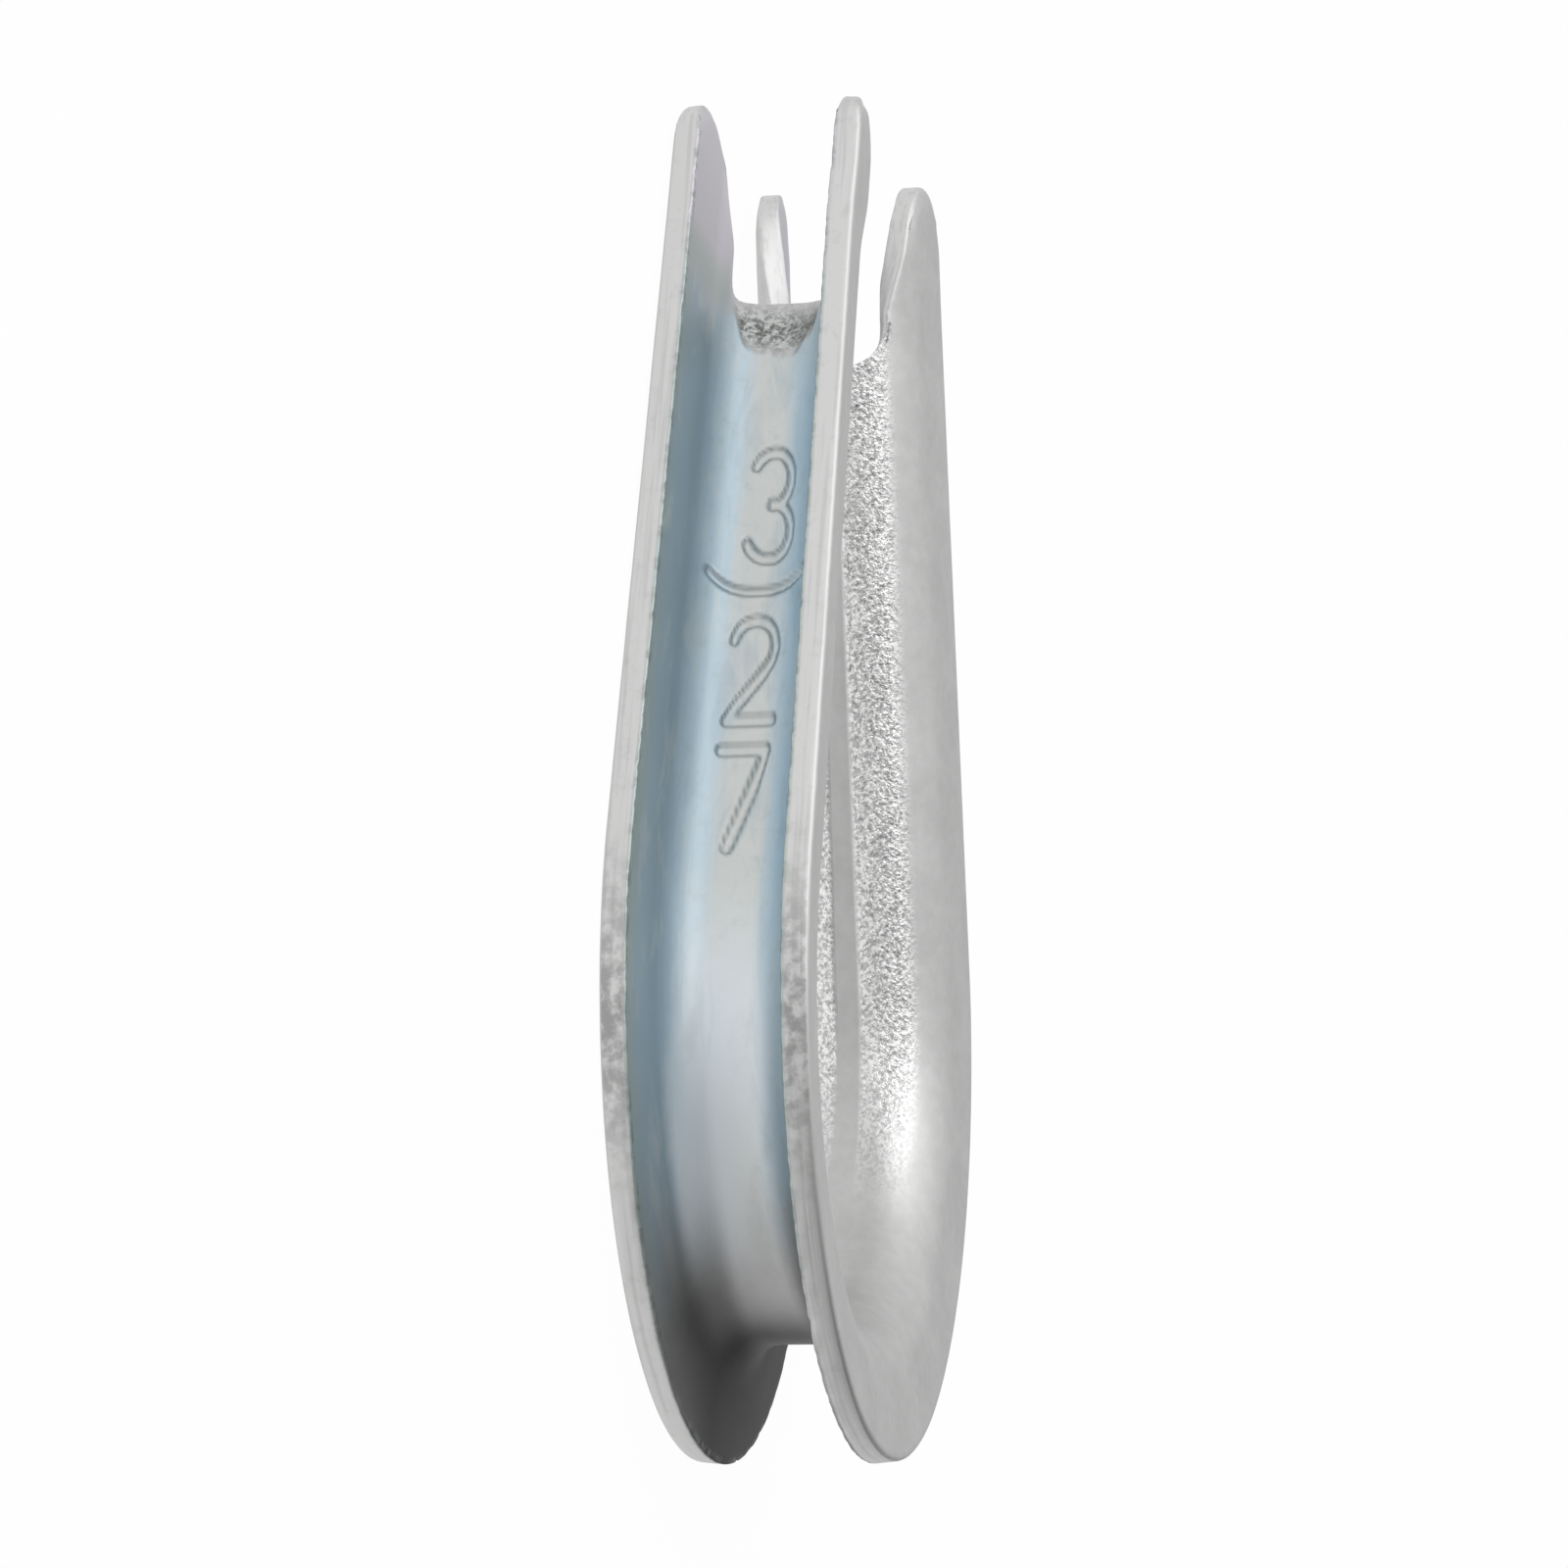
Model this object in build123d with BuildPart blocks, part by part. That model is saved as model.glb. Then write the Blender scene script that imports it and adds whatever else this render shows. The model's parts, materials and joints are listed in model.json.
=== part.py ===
"""Wire-rope thimble: one pressed-steel channel bent into an open teardrop eye.

Frame: +Y runs from the round crown to the horns, and +Z is the axis of the pin that
the crown bears on. The origin is on that axis, in the middle of the thickness.
"""

import os
from math import cos, radians, sin, tan

from build123d import *

# Driving dimensions, in millimetres and degrees. The groove takes 3.2 mm rope.
sheet = 0.75               # thickness of the pressed sheet
crown_rim_radius = 11.66   # to the rims of the flanges, round the crown
channel_depth = 3.9        # from the rims to the back of the web
crown_width = 5.4          # over the two flanges, round the crown
horn_width = 5.05          # over the two flanges, at the horn tips
crown_land = 0.9           # flat land in the middle of the web, round the crown
flange_splay = 6.0         # each flange leans outwards by this angle
leg_lean = 14.92           # each leg leans towards the other by this angle
horn_reach = 24.34         # along Y, from the pin axis to the horn tips
web_reach = 18.9           # along Y, from the pin axis to the end of the web
rim_round = 0.12           # on both arrises of each rim

# Horns, seen along Z
horn_root_x = 2.48         # where a horn's inner edge starts, beside the web's back
horn_root_y = 20.7
horn_inner_lean = 9.0      # the inner edge opens away from the other leg
horn_outer_round = 1.9      # the tip's corner on the rim side
horn_inner_round = 1.1      # and the one on the side of the eye

# The web's end: a notch between the two horns of a leg, with a slanting break
notch_width = 2.9
notch_round = 1.2
break_length = 1.6         # of the slant, along the leg
break_lip_radius = 1.75    # of the break's scoop, at the web's end
break_foot_radius = 1.05   # and where it meets the floor of the groove
break_lip = 0.05           # metal left at the web's end

# Worked out from the above
splay = radians(flange_splay)
lean = radians(leg_lean)
corner_radius = (
    (crown_width - crown_land) / 2 - channel_depth * tan(splay)
) / (cos(splay) - (1 - sin(splay)) * tan(splay))
leg_start = Vector(crown_rim_radius * cos(lean), crown_rim_radius * sin(lean))
leg_run = Vector(-sin(lean), cos(lean))
horn_distance = (horn_reach - leg_start.Y) / leg_run.Y
blank_distance = horn_distance + channel_depth
land_loss = (crown_width - horn_width) * blank_distance / horn_distance
break_depth = channel_depth - break_lip - break_lip_radius
web_end_distance = (web_reach - leg_start.Y + channel_depth * sin(lean)) / leg_run.Y
break_distance = web_end_distance - break_length
clear = 2 * channel_depth  # how far a cutting shape runs past the metal


def rim_point(y):
    """The point of the +X leg's rim at this height."""
    return leg_start + leg_run * ((y - leg_start.Y) / leg_run.Y)


def across_leg(distance):
    """Plane across the +X leg, this far from the crown: its x is depth from the rims."""
    depth_way = (-cos(lean), -sin(lean), 0)
    return Plane(origin=leg_start + leg_run * distance, x_dir=depth_way, z_dir=leg_run)


def wall_points(land, inset):
    """One surface of half the channel: rim, both ends of its corner, centre, mid web."""
    centre = Vector(channel_depth - corner_radius, land / 2)
    radius = corner_radius - inset
    corner_top = centre + Vector(sin(splay), cos(splay)) * radius
    rim = Vector(0, corner_top.Y + corner_top.X * tan(splay))
    corner_foot = centre + Vector(radius, 0)
    web_middle = Vector(channel_depth - inset, 0)
    return rim, corner_top, centre, corner_foot, web_middle


def channel_section(land):
    """The pressed channel's section, with a small radius on each rim arris."""
    rim, corner_top, centre, corner_foot, web_middle = wall_points(land, 0)
    rim_in, top_in, _, foot_in, middle_in = wall_points(land, sheet)
    bend = 90 - flange_splay
    with BuildSketch() as section:
        with BuildLine():
            Line(middle_in, web_middle)
            Line(web_middle, corner_foot)
            CenterArc(centre, corner_radius, 0, bend)
            Line(corner_top, rim)
            Line(rim, rim_in)
            Line(rim_in, top_in)
            CenterArc(centre, corner_radius - sheet, 0, bend)
            Line(foot_in, middle_in)
        make_face()
        fillet(section.vertices().group_by(Axis.X)[0], rim_round)
        mirror(about=Plane.XZ)
    return section.sketch


def horn_outline():
    """A pair of horns of the +X leg, seen along Z."""
    inner_top_x = horn_root_x + (horn_reach - horn_root_y) * tan(radians(horn_inner_lean))
    outer_top = rim_point(horn_reach)
    outer_root = rim_point(horn_root_y) + Vector(sheet, 0)
    with BuildSketch() as outline:
        with BuildLine():
            Polyline(
                (horn_root_x, horn_root_y),
                (inner_top_x, horn_reach),
                (outer_top.X, outer_top.Y),
                (outer_root.X, outer_root.Y),
                close=True,
            )
        make_face()
        fillet(outline.vertices().group_by(Axis.Y)[-1].sort_by(Axis.X)[-1], horn_outer_round)
        fillet(outline.vertices().group_by(Axis.Y)[-1].sort_by(Axis.X)[0], horn_inner_round)
    return outline.sketch


with BuildPart() as thimble:
    # One leg: a straight channel that narrows slightly towards its horns
    with BuildSketch(across_leg(0)):
        add(channel_section(crown_land))
    with BuildSketch(across_leg(blank_distance)):
        add(channel_section(crown_land - land_loss))
    loft(ruled=True)

    # Above the horns' roots, only what lies inside the horn outline stays
    with BuildSketch(Plane.XY):
        with Locations((0, horn_root_y)):
            Rectangle(4 * clear, 2 * clear, align=(Align.CENTER, Align.MIN))
        add(horn_outline(), mode=Mode.SUBTRACT)
    extrude(amount=clear, both=True, mode=Mode.SUBTRACT)

    # A notch ends the web short between the horns
    with BuildSketch(Plane.YZ):
        with Locations((web_reach, 0)):
            notch = Rectangle(clear, notch_width, align=(Align.MIN, Align.CENTER))
        fillet(notch.vertices().group_by(Axis.X)[0], notch_round)
    extrude(amount=2 * clear, mode=Mode.SUBTRACT)

    # The web breaks off slanting: a scoop out of the groove's floor
    with Locations(across_leg(break_distance)):
        with Locations((break_depth, 0)):
            Cone(
                break_foot_radius,
                break_lip_radius,
                break_length,
                align=(Align.CENTER, Align.CENTER, Align.MIN),
                mode=Mode.SUBTRACT,
            )

    # The other leg, and the crown that joins them, revolved about the pin axis
    mirror(about=Plane.YZ)
    with BuildSketch(across_leg(0)):
        add(channel_section(crown_land))
    revolve(axis=Axis.Z, revolution_arc=-(180 + 2 * leg_lean))

thimble.part.label = "thimble"

os.makedirs("parts", exist_ok=True)
export_step(thimble.part, "parts/thimble.step")
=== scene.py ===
"""A wire rope thimble: zinc-plated steel, pressed from a flat blank into an open teardrop eye.

The blank is a flat mesh whose x is the way across the sheet, y the way along it and z the
depth into it. Geometry nodes press it into a channel and bend the channel round the crown.
"""

import json
import math
import typing

import bpy
import numpy as np
from mathutils import Matrix, Vector


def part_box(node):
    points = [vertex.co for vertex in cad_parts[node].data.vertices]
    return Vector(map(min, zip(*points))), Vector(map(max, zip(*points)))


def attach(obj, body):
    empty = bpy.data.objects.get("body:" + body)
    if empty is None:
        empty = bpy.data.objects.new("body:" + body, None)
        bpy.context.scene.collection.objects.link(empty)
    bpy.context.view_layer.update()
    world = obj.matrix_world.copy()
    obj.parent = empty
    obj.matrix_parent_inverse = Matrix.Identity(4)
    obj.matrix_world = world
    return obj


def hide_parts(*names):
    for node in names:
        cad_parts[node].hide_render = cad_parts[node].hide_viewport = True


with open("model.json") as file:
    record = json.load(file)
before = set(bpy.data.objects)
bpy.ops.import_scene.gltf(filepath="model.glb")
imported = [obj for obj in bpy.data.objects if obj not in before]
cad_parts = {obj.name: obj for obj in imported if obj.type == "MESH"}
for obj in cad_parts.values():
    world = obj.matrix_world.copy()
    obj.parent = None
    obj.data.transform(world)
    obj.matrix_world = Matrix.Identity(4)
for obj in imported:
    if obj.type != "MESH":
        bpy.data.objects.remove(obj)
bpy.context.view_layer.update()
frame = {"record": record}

bl_info = {
    "name": "Wire Rope Thimble",
    "version": (1, 0, 0),
    "blender": (4, 5, 0),
    "location": "View3D > Sidebar > Thimble",
    "description": "Presses a zinc-plated thimble from a flat blank and stages it",
    "category": "Object",
}

MM = 0.001
mounts = {mount["name"]: mount for mount in frame["record"]["mounts"]}
node_low, node_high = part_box("thimble")


# Properties

class ThimbleSizes(bpy.types.PropertyGroup):
    """Sizes of the pressed thimble."""

    rim_radius: bpy.props.FloatProperty(
        name="Rim Radius", description="Outside of the flanges, round the crown",
        default=node_high.x, subtype="DISTANCE")
    seat_radius: bpy.props.FloatProperty(
        name="Seat Radius", description="Back of the web, round the crown",
        default=mounts["eye_seat"]["dims"]["r_mm"] * MM, subtype="DISTANCE")
    land: bpy.props.FloatProperty(
        name="Land", description="Width of the flat middle of the web",
        default=mounts["eye_seat"]["dims"]["length_mm"] * MM, subtype="DISTANCE")
    horn_reach: bpy.props.FloatProperty(
        name="Horn Reach", description="From the pin axis to the horn tips",
        default=node_high.y, subtype="DISTANCE")
    width: bpy.props.FloatProperty(
        name="Width", description="Over both flanges at the crown, before their arrises are rounded",
        default=5.38 * MM, subtype="DISTANCE")
    sheet: bpy.props.FloatProperty(
        name="Sheet", description="Thickness of the steel",
        default=0.75 * MM, subtype="DISTANCE")
    splay: bpy.props.FloatProperty(
        name="Flange Splay", description="Outward lean of each flange",
        default=math.radians(6.0), subtype="ANGLE")
    leg_lean: bpy.props.FloatProperty(
        name="Leg Lean", description="Lean of each leg towards the other",
        default=math.radians(14.92), subtype="ANGLE")
    web_run: bpy.props.FloatProperty(
        name="Web Run", description="Length of a leg's web, from the crown to its break",
        default=17.45 * MM, subtype="DISTANCE")
    narrowing: bpy.props.FloatProperty(
        name="Narrowing", description="Loss of width from the crown to the horn tips",
        default=0.35 * MM, subtype="DISTANCE")
    arris: bpy.props.FloatProperty(
        name="Arris", description="Radius of the sheet's edges on the back",
        default=0.13 * MM, subtype="DISTANCE")
    break_run: bpy.props.FloatProperty(
        name="Break Run", description="Length of the slanting break at the end of a web",
        default=2.0 * MM, subtype="DISTANCE")
    stamp_depth: bpy.props.FloatProperty(
        name="Stamp Depth", description="Depth of the pressed marks",
        default=0.12 * MM, subtype="DISTANCE")
    grain_depth: bpy.props.FloatProperty(
        name="Grain Depth", description="Height of the orange-peel grain on the back of the web",
        default=0.03 * MM, subtype="DISTANCE")


def tint(name, description, colour):
    """A colour that the user can change, given as it is seen."""
    return bpy.props.FloatVectorProperty(
        name=name, description=description, default=colour, subtype="COLOR_GAMMA", min=0.0, max=1.0)


class ThimbleFinish(bpy.types.PropertyGroup):
    """Colours of the plating, as seen."""

    zinc: tint("Zinc", "Plating on the flanges and the back", (0.81, 0.81, 0.808))
    blue: tint("Blue", "Passivated plating in the groove", (0.80, 0.86, 0.895))
    deep_blue: tint("Deep Blue", "Where the passivation is thickest", (0.715, 0.775, 0.81))
    warm: tint("Warm Strip", "Thin passivation along the middle of the groove", (0.875, 0.88, 0.87))
    olive: tint("Olive", "Edge of the passivation, at the rims", (0.73, 0.765, 0.75))
    # painted highlight: near-white laid on the groove's floor towards where each leg meets the crown
    bright: tint("Bright Patch", "Polished plating where the leg meets the crown", (0.965, 0.985, 1.0))
    lilac: tint("Lilac", "Thin passivation on the inside of the horns", (0.82, 0.81, 0.835))
    # painted shade: the grey laid in the groove round the crown, which lies in shade
    crown_shade_grey: tint("Dull Grey", "Bare plating in the groove at the crown", (0.60, 0.60, 0.60))
    fracture: tint("Fracture", "Torn steel at the web's ends", (0.60, 0.61, 0.60))


class ThimbleStage(bpy.types.PropertyGroup):
    """The floor, the light and the camera."""

    floor_span: bpy.props.FloatProperty(
        name="Floor Span", description="Side of the square floor",
        default=6.0, subtype="DISTANCE")
    view_distance: bpy.props.FloatProperty(
        name="View Distance", description="From the camera to the thimble",
        default=170 * MM, subtype="DISTANCE")
    azimuth: bpy.props.FloatProperty(
        name="Azimuth", description="Way the camera looks, turned from +Y towards +X",
        default=math.radians(77.68), subtype="ANGLE")
    elevation: bpy.props.FloatProperty(
        name="Elevation", description="Height of the camera over the thimble",
        default=math.radians(11.60), subtype="ANGLE")
    roll: bpy.props.FloatProperty(
        name="Roll", description="Roll of the camera about its own axis, horns upwards",
        default=math.radians(88.43), subtype="ANGLE")
    lens: bpy.props.FloatProperty(
        name="Lens", description="Focal length on a 36 mm sensor",
        default=145.9, unit="CAMERA")


# Node maths

class Value:
    """A node's socket that works in sums like a number."""

    def __init__(self, graph, socket):
        self.graph = graph
        self.socket = socket

    def math(self, operation, *others, swap=False):
        """Adds a Math node on this value and the others; swap puts this value last."""
        values = [self, *others]
        if swap:
            values.reverse()
        return self.graph.node("ShaderNodeMath", {"operation": operation}, dict(enumerate(values)))

    def __add__(self, other):
        return self.math("ADD", other)

    def __sub__(self, other):
        return self.math("SUBTRACT", other)

    def __rsub__(self, other):
        return self.math("SUBTRACT", other, swap=True)

    def __mul__(self, other):
        return self.math("MULTIPLY", other)

    def __truediv__(self, other):
        return self.math("DIVIDE", other)

    def __rtruediv__(self, other):
        return self.math("DIVIDE", other, swap=True)

    def __neg__(self):
        return self.math("MULTIPLY", -1.0)

    def __abs__(self):
        return self.math("ABSOLUTE")

    __radd__ = __add__
    __rmul__ = __mul__

    def least(self, other):
        return self.math("MINIMUM", other)

    def most(self, other):
        return self.math("MAXIMUM", other)

    def sign(self):
        return self.math("SIGN")

    def sin(self):
        return self.math("SINE")

    def cos(self):
        return self.math("COSINE")

    def ramp(self, start, end, low=0.0, high=1.0):
        """Goes smoothly from low to high as this value goes from start to end."""
        settings = {"interpolation_type": "SMOOTHSTEP"}
        inputs = {"Value": self, "From Min": start, "From Max": end, "To Min": low, "To Max": high}
        return self.graph.node("ShaderNodeMapRange", settings, inputs)

    def fade(self, start, end):
        """Goes smoothly from 1 to 0 as this value goes from start to end."""
        return self.ramp(start, end, 1.0, 0.0)

    def near(self, middle, reach):
        """1 at the middle, falling smoothly to 0 at this distance from it."""
        return abs(self - middle).fade(0.0, reach)


class Graph:
    """A node tree, shader or geometry, with one way of adding a node."""

    def __init__(self, tree):
        self.tree = tree

    def node(self, kind, settings=None, inputs=None, output=0):
        """Adds a node, sets it up, fills or links its inputs, and gives one output."""
        node = self.tree.nodes.new(kind)
        for name, setting in (settings or {}).items():
            if name == "stops":
                self.fill_ramp(node.color_ramp, setting)
            else:
                setattr(node, name, setting)
        for name, value in (inputs or {}).items():
            socket = node.inputs[name]
            if isinstance(value, Value):
                self.tree.links.new(value.socket, socket)
            else:
                socket.default_value = value
        return Value(self, node.outputs[output])

    @staticmethod
    def fill_ramp(ramp, stops):
        """Gives a colour ramp its stops: place and colour."""
        while len(ramp.elements) < len(stops):
            ramp.elements.new(1.0)
        for element, (place, colour) in zip(ramp.elements, stops):
            element.position = place
            element.color = colour

    def parts(self, vector):
        """The three numbers of a vector."""
        split = self.node("ShaderNodeSeparateXYZ", inputs={0: vector}).socket.node
        return [Value(self, socket) for socket in split.outputs]

    def vector(self, x, y, z):
        """A vector of three numbers."""
        return self.node("ShaderNodeCombineXYZ", inputs={0: x, 1: y, 2: z})

    def noise(self, vector, scale, detail=2.0, roughness=0.5, distortion=0.0, seed=0.0):
        """Noise from 0 to 1 around 0.5."""
        settings = {"noise_dimensions": "4D"}
        inputs = {
            "Vector": vector, "W": seed, "Scale": scale, "Detail": detail,
            "Roughness": roughness, "Distortion": distortion,
        }
        return self.node("ShaderNodeTexNoise", settings, inputs)

    def mix(self, factor, first, second):
        """Colours or vectors, from the first to the second."""
        settings = {"data_type": "RGBA"}
        return self.node("ShaderNodeMix", settings, {0: factor, 6: first, 7: second}, output=2)


def shade(colour, factor=1.0):
    """A colour as seen, in the linear form that shaders take, darker or lighter by a factor."""
    seen = [c / 12.92 if c <= 0.04045 else ((c + 0.055) / 1.055) ** 2.4 for c in colour]
    return (*(c * factor for c in seen), 1.0)


# The flat blank

PEAK_DEPTH = 1.1 * MM         # from the rims to the tips of the horns, into the channel


class Blank:
    """The flat sheet: where its edges run, before it is pressed."""

    def __init__(self, sizes):
        self.sheet = sizes.sheet
        self.depth = sizes.rim_radius - sizes.seat_radius
        self.bend = math.pi / 2 - sizes.splay
        self.half_land = sizes.land / 2
        tilt = math.tan(sizes.splay)
        self.corner = (sizes.width / 2 - self.half_land - self.depth * tilt) / (
            math.cos(sizes.splay) - (1 - math.sin(sizes.splay)) * tilt)
        rim_drop = self.sheet * math.sin(sizes.splay)
        corner_depth = self.corner * (1 - math.sin(sizes.splay))
        wall = (self.depth - rim_drop - corner_depth) / math.cos(sizes.splay)
        self.half_width = self.half_land + self.corner * self.bend + wall
        self.station_radius = sizes.seat_radius + self.sheet
        self.crown_half = self.station_radius * (math.pi / 2 + sizes.leg_lean)
        self.web_end = self.crown_half + sizes.web_run
        self.arris = sizes.arris
        self.break_run = sizes.break_run
        lean = sizes.leg_lean
        self.tip = self.crown_half + (
            sizes.horn_reach - (sizes.rim_radius - PEAK_DEPTH) * math.sin(lean)) / math.cos(lean)


class Horn(typing.NamedTuple):
    """One horn, in the flat blank."""

    half: float    # from the middle of the sheet to the horn's inner edge, at its root
    corner: float  # radius between the web's end and the inner edge
    lean: float    # how fast the inner edge runs outwards, up the horn
    spring: float  # how far the inner edge has sprung out of the channel's curve
    short: float   # how much lower the tip is than the highest one


# Keyed by the leg, -1 or 1 along the blank, and the flange, -1 or 1 across it
HORNS = {
    (-1, -1): Horn(half=2.00 * MM, corner=0.80 * MM, lean=0.40, spring=0.02 * MM, short=0.46 * MM),
    (-1, 1): Horn(half=1.95 * MM, corner=0.50 * MM, lean=0.36, spring=0.15 * MM, short=0.40 * MM),
    (1, -1): Horn(half=1.90 * MM, corner=1.10 * MM, lean=0.40, spring=0.02 * MM, short=0.03 * MM),
    (1, 1): Horn(half=1.75 * MM, corner=1.20 * MM, lean=0.42, spring=0.04 * MM, short=0.0),
}
HORN_SHORTEST = max(horn.short for horn in HORNS.values())
LEAN_EASE = 0.35 * MM         # run over which an inner edge starts to lean
TIP_PEAK = 0.42               # where across the horn its tip is highest, 0 at the inner edge
TIP_INNER_DROP = 1.15 * MM    # from the tip down to where its curve leaves the inner edge
TIP_OUTER_DROP = 1.05 * MM    # the same, at the rim
TIP_CURVE_START = 0.1         # about the share of a horn's height below which its rows stay level
TIP_GATHER_START = 0.15       # about the share below which its columns don't gather at the tip
TIP_RUN = 1.5 * MM            # stretch below the tips whose faces fall away to the edge
TIP_FALL = 0.15 * MM          # how far each face falls at the edge
TIP_FALL_REACH = 0.48 * MM    # in from the edge
FAR_TIP_SHARE = 0.5           # of that fall, on the leg at +X
SPRING_RUN = 1.8 * MM         # run up a horn over which its inner edge springs out
SPRING_FADE = 0.7             # how much less the rim springs out than the inner edge
WEB_HALF = 1.7 * MM           # the grid's web columns reach this far along the legs
HORN_ROWS = 30
WEB_COLUMNS = 38
HORN_COLUMNS = 18
COLUMN_CROWDING = 1.15        # over 1, columns crowd towards the horns' inner edges
NOTCH_EASE = 3.0 * MM         # run over which the columns move onto the notch
MARK_STEP = 0.085 * MM        # along the sheet, where the marks are
BREAK_STEP = 0.07 * MM        # at the torn ends
BREAK_MARGIN = 1.2            # the fine steps cover this many lengths of the break
PLAIN_STEP = 0.185 * MM
MARKED_STRETCH = (0.5 * MM, 13.0 * MM)  # of the marked leg, from the crown
BREAK_HALF = 2.15 * MM        # half the width of the slanting break
BREAK_ROUND = 3.0             # over 1, the break's end is squarer
BREAK_CUT = 0.86              # share of the thickness that the break takes away
BREAK_SLANT = 0.7             # under 1, the break falls away sooner
BREAK_FADE = 0.35             # share of the half width over which the break runs out
BREAK_WAVES = ((0.05, 4200.0, 0.0), (0.03, 9300.0, 1.0))  # share, waves per metre, phase
DRAWN_REACH = 3.0             # points this many edge radii in make room for a rounded edge
GROOVE_ARRIS = 0.55           # radius of the groove side's edges, as a share of the back's
BACK_ROUND_MOST = 0.4         # largest share of the thickness that each radius may take
GROOVE_ROUND_MOST = 0.3
ARC_STEPS = 3                 # rows round each of the sheet's two edges
SIDE_ROWS = 3                 # rows between them, on the flat of the side


def smooth(value):
    """Goes smoothly from 0 to 1 as the value does, and no further."""
    value = np.clip(value, 0.0, 1.0)
    return value * value * (3.0 - 2.0 * value)


def stations(blank):
    """Places along the sheet, closer together at the pressed marks and at the torn ends."""
    places = [-blank.web_end]
    while places[-1] < blank.web_end:
        up_leg = abs(places[-1]) - blank.crown_half
        step = PLAIN_STEP
        if places[-1] < 0.0 and MARKED_STRETCH[0] < up_leg < MARKED_STRETCH[1]:
            step = MARK_STEP
        if abs(places[-1]) > blank.web_end - blank.break_run * BREAK_MARGIN:
            step = BREAK_STEP
        places.append(places[-1] + step)
    places = np.array(places)
    stretch = 2.0 * blank.web_end / (places[-1] - places[0])
    return (places - places[0]) * stretch - blank.web_end


def columns(blank):
    """Places across the sheet; the first and last HORN_COLUMNS carry on into the horns."""
    web = np.linspace(-WEB_HALF, WEB_HALF, WEB_COLUMNS + 1)
    share = np.linspace(0.0, 1.0, HORN_COLUMNS + 1)[1:] ** COLUMN_CROWDING
    horn = WEB_HALF + share * (blank.half_width - WEB_HALF)
    return np.concatenate([-horn[::-1], web, horn])


def notch_place(horn, share):
    """Where a column ends on the notch: across, and past the web's end. share is 0 to 1."""
    flat = horn.half - horn.corner
    run = share * (flat + horn.corner * math.pi / 2)
    turn = np.clip((run - flat) / horn.corner, 0.0, math.pi / 2)
    across = np.where(run < flat, run, flat + horn.corner * np.sin(turn))
    return across, horn.corner * (1.0 - np.cos(turn))


def late(rise, start):
    """Goes smoothly from 0 to 1 as the rise goes from near this start to 1."""
    return smooth(rise * (1.0 + start) - start)


def horn_place(horn, share, rise, blank):
    """A point of a horn: share is 0 at its inner edge, rise is 0 at its root and 1 at the tip."""
    inner = share < TIP_PEAK
    turn = np.where(inner, 1.0 - share / TIP_PEAK, (share - TIP_PEAK) / (1.0 - TIP_PEAK))
    turn = turn * math.pi / 2
    tip_share = np.where(inner, TIP_PEAK * (1.0 - np.sin(turn)),
                         TIP_PEAK + (1.0 - TIP_PEAK) * np.sin(turn))
    drop = np.where(inner, TIP_INNER_DROP, TIP_OUTER_DROP) * (1.0 - np.cos(turn))
    height = blank.tip - blank.web_end - horn.short - horn.corner
    past = horn.corner + rise * (height - drop * late(rise, TIP_CURVE_START))
    along = share + (tip_share - share) * late(rise, TIP_GATHER_START)
    run = past - horn.corner
    start = horn.half + horn.lean * (np.sqrt(run * run + LEAN_EASE ** 2) - LEAN_EASE)
    return start + (blank.half_width - start) * along, past


def blank_grid(blank):
    """Points of the flat sheet on a grid, which of them exist, and how far they spring out."""
    along, across = stations(blank), columns(blank)
    rows = len(along) + 2 * HORN_ROWS
    x = np.zeros((rows, len(across)))
    y = np.zeros_like(x)
    spring = np.zeros_like(x)
    exists = np.ones(x.shape, bool)
    web_share = np.clip(np.abs(across) / WEB_HALF, 0.0, 1.0)
    horn_share = np.clip((np.abs(across) - WEB_HALF) / (blank.half_width - WEB_HALF), 0.0, 1.0)
    for (leg, flange), horn in HORNS.items():
        here = np.flatnonzero(across * flange >= 0.0)
        web, out = web_share[here], horn_share[here]
        notch_x, notch_rise = notch_place(horn, web)
        notch_x = notch_x + out * (blank.half_width - horn.half)
        for i in np.flatnonzero(along * leg >= 0.0):
            closeness = smooth((abs(along[i]) - (blank.web_end - NOTCH_EASE)) / NOTCH_EASE)
            plain = np.abs(across[here])
            x[HORN_ROWS + i, here] = flange * (plain + (notch_x - plain) * closeness)
            y[HORN_ROWS + i, here] = along[i] + leg * notch_rise * closeness
        for k in range(1, HORN_ROWS + 1):
            row = rows - 1 - HORN_ROWS + k if leg > 0 else HORN_ROWS - k
            horn_x, past = horn_place(horn, out, k / HORN_ROWS, blank)
            x[row, here] = flange * horn_x
            y[row, here] = leg * (blank.web_end + past)
            exists[row, here] = web >= 1.0
            sprung = smooth((past - horn.corner) / SPRING_RUN)
            spring[row, here] = horn.spring * sprung * (1.0 - SPRING_FADE * out)
    return x, y, exists, spring


def edge_loop(quads):
    """The sheet's outline as one ring of point numbers."""
    follow = {}
    for quad in quads:
        for a, b in zip(quad, np.roll(quad, -1)):
            follow[(int(a), int(b))] = True
    ahead = {a: b for a, b in follow if (b, a) not in follow}
    ring = [next(iter(ahead))]
    while ahead[ring[-1]] != ring[0]:
        ring.append(ahead[ring[-1]])
    return np.array(ring)


def break_cut(blank, x, y):
    """Share of the sheet's thickness left on the groove side, near the torn web ends."""
    share = np.clip(np.abs(x) / BREAK_HALF, 0.0, 1.0)
    ragged = sum(size * np.sin(x * rate + phase) for size, rate, phase in BREAK_WAVES)
    run = blank.break_run * (1.0 - share ** BREAK_ROUND) * (1.0 + ragged)
    into = np.clip((np.abs(y) - (blank.web_end - run)) / np.maximum(run, 1e-6), 0.0, 1.0)
    into = np.where(share < 1.0, into, 0.0)
    return 1.0 - BREAK_CUT * into ** BREAK_SLANT * smooth((1.0 - share) / BREAK_FADE)


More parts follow.
